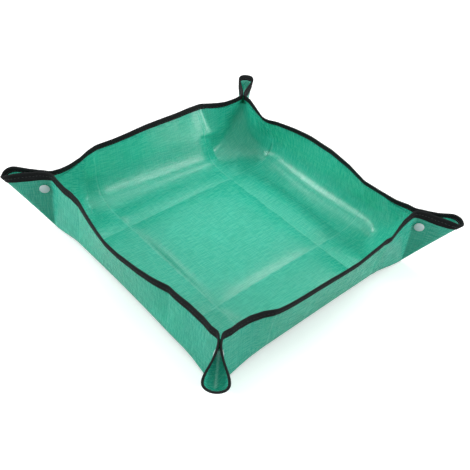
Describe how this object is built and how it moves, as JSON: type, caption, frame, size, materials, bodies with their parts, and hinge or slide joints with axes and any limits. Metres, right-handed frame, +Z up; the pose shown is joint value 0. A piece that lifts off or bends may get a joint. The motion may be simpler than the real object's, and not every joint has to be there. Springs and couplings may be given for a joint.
{
  "type": "folding potting tray",
  "caption": "Square folding potting tray of coated woven sheet with bound edges. Press studs hold its pinched corner ears so the walls stand, and it opens flat.",
  "frame": {"origin": "middle of the underside of the floor, which rests on the table", "axes": "+Z up, +X towards the right wall, +Y towards the back wall"},
  "size_m": [0.438, 0.438, 0.0848],
  "materials": {
    "mat": "glossy laminated woven polyethylene sheet",
    "binding": "black woven binding tape, folded over the edge and sewn",
    "press_stud": "moulded off-white plastic"
  },
  "bodies": {
    "floor": {"mat_floor": "mat"},
    "wall_right": {"mat_wall_right": "mat", "binding_wall_right": "binding"},
    "wall_back": {"mat_wall_back": "mat", "binding_wall_back": "binding"},
    "wall_left": {"mat_wall_left": "mat", "binding_wall_left": "binding"},
    "wall_front": {"mat_wall_front": "mat", "binding_wall_front": "binding"},
    "back_right_flap_right": {"back_right_flap_right": "mat", "binding_back_right_flap_right": "binding", "back_right_socket_cap": "press_stud", "back_right_socket": "press_stud"},
    "back_right_ear_bottom_right": {"back_right_ear_bottom_right": "mat", "binding_back_right_ear_bottom_right": "binding"},
    "back_right_flap_back": {"back_right_flap_back": "mat", "binding_back_right_flap_back": "binding", "back_right_stud_cap": "press_stud", "back_right_stud": "press_stud"},
    "back_right_ear_bottom_back": {"back_right_ear_bottom_back": "mat", "binding_back_right_ear_bottom_back": "binding"},
    "back_left_flap_back": {"back_left_flap_back": "mat", "binding_back_left_flap_back": "binding", "back_left_socket_cap": "press_stud", "back_left_socket": "press_stud"},
    "back_left_ear_bottom_back": {"back_left_ear_bottom_back": "mat", "binding_back_left_ear_bottom_back": "binding"},
    "back_left_flap_left": {"back_left_flap_left": "mat", "binding_back_left_flap_left": "binding", "back_left_stud_cap": "press_stud", "back_left_stud": "press_stud"},
    "back_left_ear_bottom_left": {"back_left_ear_bottom_left": "mat", "binding_back_left_ear_bottom_left": "binding"},
    "front_left_flap_left": {"front_left_flap_left": "mat", "binding_front_left_flap_left": "binding", "front_left_socket_cap": "press_stud", "front_left_socket": "press_stud"},
    "front_left_ear_bottom_left": {"front_left_ear_bottom_left": "mat", "binding_front_left_ear_bottom_left": "binding"},
    "front_left_flap_front": {"front_left_flap_front": "mat", "binding_front_left_flap_front": "binding", "front_left_stud_cap": "press_stud", "front_left_stud": "press_stud"},
    "front_left_ear_bottom_front": {"front_left_ear_bottom_front": "mat", "binding_front_left_ear_bottom_front": "binding"},
    "front_right_flap_front": {"front_right_flap_front": "mat", "binding_front_right_flap_front": "binding", "front_right_socket_cap": "press_stud", "front_right_socket": "press_stud"},
    "front_right_ear_bottom_front": {"front_right_ear_bottom_front": "mat", "binding_front_right_ear_bottom_front": "binding"},
    "front_right_flap_right": {"front_right_flap_right": "mat", "binding_front_right_flap_right": "binding", "front_right_stud_cap": "press_stud", "front_right_stud": "press_stud"},
    "front_right_ear_bottom_right": {"front_right_ear_bottom_right": "mat", "binding_front_right_ear_bottom_right": "binding"}
  },
  "joints": [
    {"name": "fold_right_wall", "type": "hinge", "parent": "floor", "child": "wall_right", "pos_m": [0.166, 0, 0.00022], "axis": [0, 1, 0], "range_deg": [0, 90]},
    {"name": "fold_back_wall", "type": "hinge", "parent": "floor", "child": "wall_back", "pos_m": [0, 0.166, 0.00022], "axis": [-1, 0, 0], "range_deg": [0, 90]},
    {"name": "fold_left_wall", "type": "hinge", "parent": "floor", "child": "wall_left", "pos_m": [-0.166, 0, 0.00022], "axis": [0, -1, 0], "range_deg": [0, 90]},
    {"name": "fold_front_wall", "type": "hinge", "parent": "floor", "child": "wall_front", "pos_m": [0, -0.166, 0.00022], "axis": [1, 0, 0], "range_deg": [0, 90]},
    {"name": "fold_back_right_flap_right", "type": "hinge", "parent": "wall_right", "child": "back_right_flap_right", "pos_m": [0.166, 0.166, 0.00022], "axis": [0, -0.0454, 0.999], "range_deg": [0, 55.34]},
    {"name": "fold_back_right_ear_bottom_right", "type": "hinge", "parent": "back_right_flap_right", "child": "back_right_ear_bottom_right", "pos_m": [0.166, 0.166, 0.00022], "axis": [-0.5242, -0.3274, -0.7862], "range_deg": [0, 96.85]},
    {"name": "fold_back_right_flap_back", "type": "hinge", "parent": "wall_back", "child": "back_right_flap_back", "pos_m": [0.166, 0.166, 0.00022], "axis": [0.0454, 0, -0.999], "range_deg": [0, 55.34]},
    {"name": "fold_back_right_ear_bottom_back", "type": "hinge", "parent": "back_right_flap_back", "child": "back_right_ear_bottom_back", "pos_m": [0.166, 0.166, 0.00022], "axis": [0.3274, 0.5242, 0.7862], "range_deg": [0, 96.85]},
    {"name": "fold_back_left_flap_back", "type": "hinge", "parent": "wall_back", "child": "back_left_flap_back", "pos_m": [-0.166, 0.166, 0.00022], "axis": [0.0454, 0, 0.999], "range_deg": [0, 55.34]},
    {"name": "fold_back_left_ear_bottom_back", "type": "hinge", "parent": "back_left_flap_back", "child": "back_left_ear_bottom_back", "pos_m": [-0.166, 0.166, 0.00022], "axis": [0.3274, -0.5242, -0.7862], "range_deg": [0, 96.85]},
    {"name": "fold_back_left_flap_left", "type": "hinge", "parent": "wall_left", "child": "back_left_flap_left", "pos_m": [-0.166, 0.166, 0.00022], "axis": [0, 0.0454, -0.999], "range_deg": [0, 55.34]},
    {"name": "fold_back_left_ear_bottom_left", "type": "hinge", "parent": "back_left_flap_left", "child": "back_left_ear_bottom_left", "pos_m": [-0.166, 0.166, 0.00022], "axis": [-0.5242, 0.3274, 0.7862], "range_deg": [0, 96.85]},
    {"name": "fold_front_left_flap_left", "type": "hinge", "parent": "wall_left", "child": "front_left_flap_left", "pos_m": [-0.166, -0.166, 0.00022], "axis": [0, 0.0454, 0.999], "range_deg": [0, 55.34]},
    {"name": "fold_front_left_ear_bottom_left", "type": "hinge", "parent": "front_left_flap_left", "child": "front_left_ear_bottom_left", "pos_m": [-0.166, -0.166, 0.00022], "axis": [0.5242, 0.3274, -0.7862], "range_deg": [0, 96.85]},
    {"name": "fold_front_left_flap_front", "type": "hinge", "parent": "wall_front", "child": "front_left_flap_front", "pos_m": [-0.166, -0.166, 0.00022], "axis": [-0.0454, 0, -0.999], "range_deg": [0, 55.34]},
    {"name": "fold_front_left_ear_bottom_front", "type": "hinge", "parent": "front_left_flap_front", "child": "front_left_ear_bottom_front", "pos_m": [-0.166, -0.166, 0.00022], "axis": [-0.3274, -0.5242, 0.7862], "range_deg": [0, 96.85]},
    {"name": "fold_front_right_flap_front", "type": "hinge", "parent": "wall_front", "child": "front_right_flap_front", "pos_m": [0.166, -0.166, 0.00022], "axis": [-0.0454, 0, 0.999], "range_deg": [0, 55.34]},
    {"name": "fold_front_right_ear_bottom_front", "type": "hinge", "parent": "front_right_flap_front", "child": "front_right_ear_bottom_front", "pos_m": [0.166, -0.166, 0.00022], "axis": [-0.3274, 0.5242, -0.7862], "range_deg": [0, 96.85]},
    {"name": "fold_front_right_flap_right", "type": "hinge", "parent": "wall_right", "child": "front_right_flap_right", "pos_m": [0.166, -0.166, 0.00022], "axis": [0, -0.0454, -0.999], "range_deg": [0, 55.34]},
    {"name": "fold_front_right_ear_bottom_right", "type": "hinge", "parent": "front_right_flap_right", "child": "front_right_ear_bottom_right", "pos_m": [0.166, -0.166, 0.00022], "axis": [0.5242, -0.3274, 0.7862], "range_deg": [0, 96.85]}
  ],
  "couplings": [
    {"joint": "fold_right_wall", "follows": "fold_front_wall", "ratio": 1},
    {"joint": "fold_back_wall", "follows": "fold_front_wall", "ratio": 1},
    {"joint": "fold_left_wall", "follows": "fold_front_wall", "ratio": 1},
    {"joint": "fold_back_right_flap_right", "follows": "fold_front_wall", "ratio": 0.61467},
    {"joint": "fold_back_right_ear_bottom_right", "follows": "fold_front_wall", "ratio": 1.076},
    {"joint": "fold_back_right_flap_back", "follows": "fold_front_wall", "ratio": 0.61467},
    {"joint": "fold_back_right_ear_bottom_back", "follows": "fold_front_wall", "ratio": 1.076},
    {"joint": "fold_back_left_flap_back", "follows": "fold_front_wall", "ratio": 0.61467},
    {"joint": "fold_back_left_ear_bottom_back", "follows": "fold_front_wall", "ratio": 1.076},
    {"joint": "fold_back_left_flap_left", "follows": "fold_front_wall", "ratio": 0.61467},
    {"joint": "fold_back_left_ear_bottom_left", "follows": "fold_front_wall", "ratio": 1.076},
    {"joint": "fold_front_left_flap_left", "follows": "fold_front_wall", "ratio": 0.61467},
    {"joint": "fold_front_left_ear_bottom_left", "follows": "fold_front_wall", "ratio": 1.076},
    {"joint": "fold_front_left_flap_front", "follows": "fold_front_wall", "ratio": 0.61467},
    {"joint": "fold_front_left_ear_bottom_front", "follows": "fold_front_wall", "ratio": 1.076},
    {"joint": "fold_front_right_flap_front", "follows": "fold_front_wall", "ratio": 0.61467},
    {"joint": "fold_front_right_ear_bottom_front", "follows": "fold_front_wall", "ratio": 1.076},
    {"joint": "fold_front_right_flap_right", "follows": "fold_front_wall", "ratio": 0.61467},
    {"joint": "fold_front_right_ear_bottom_right", "follows": "fold_front_wall", "ratio": 1.076}
  ]
}
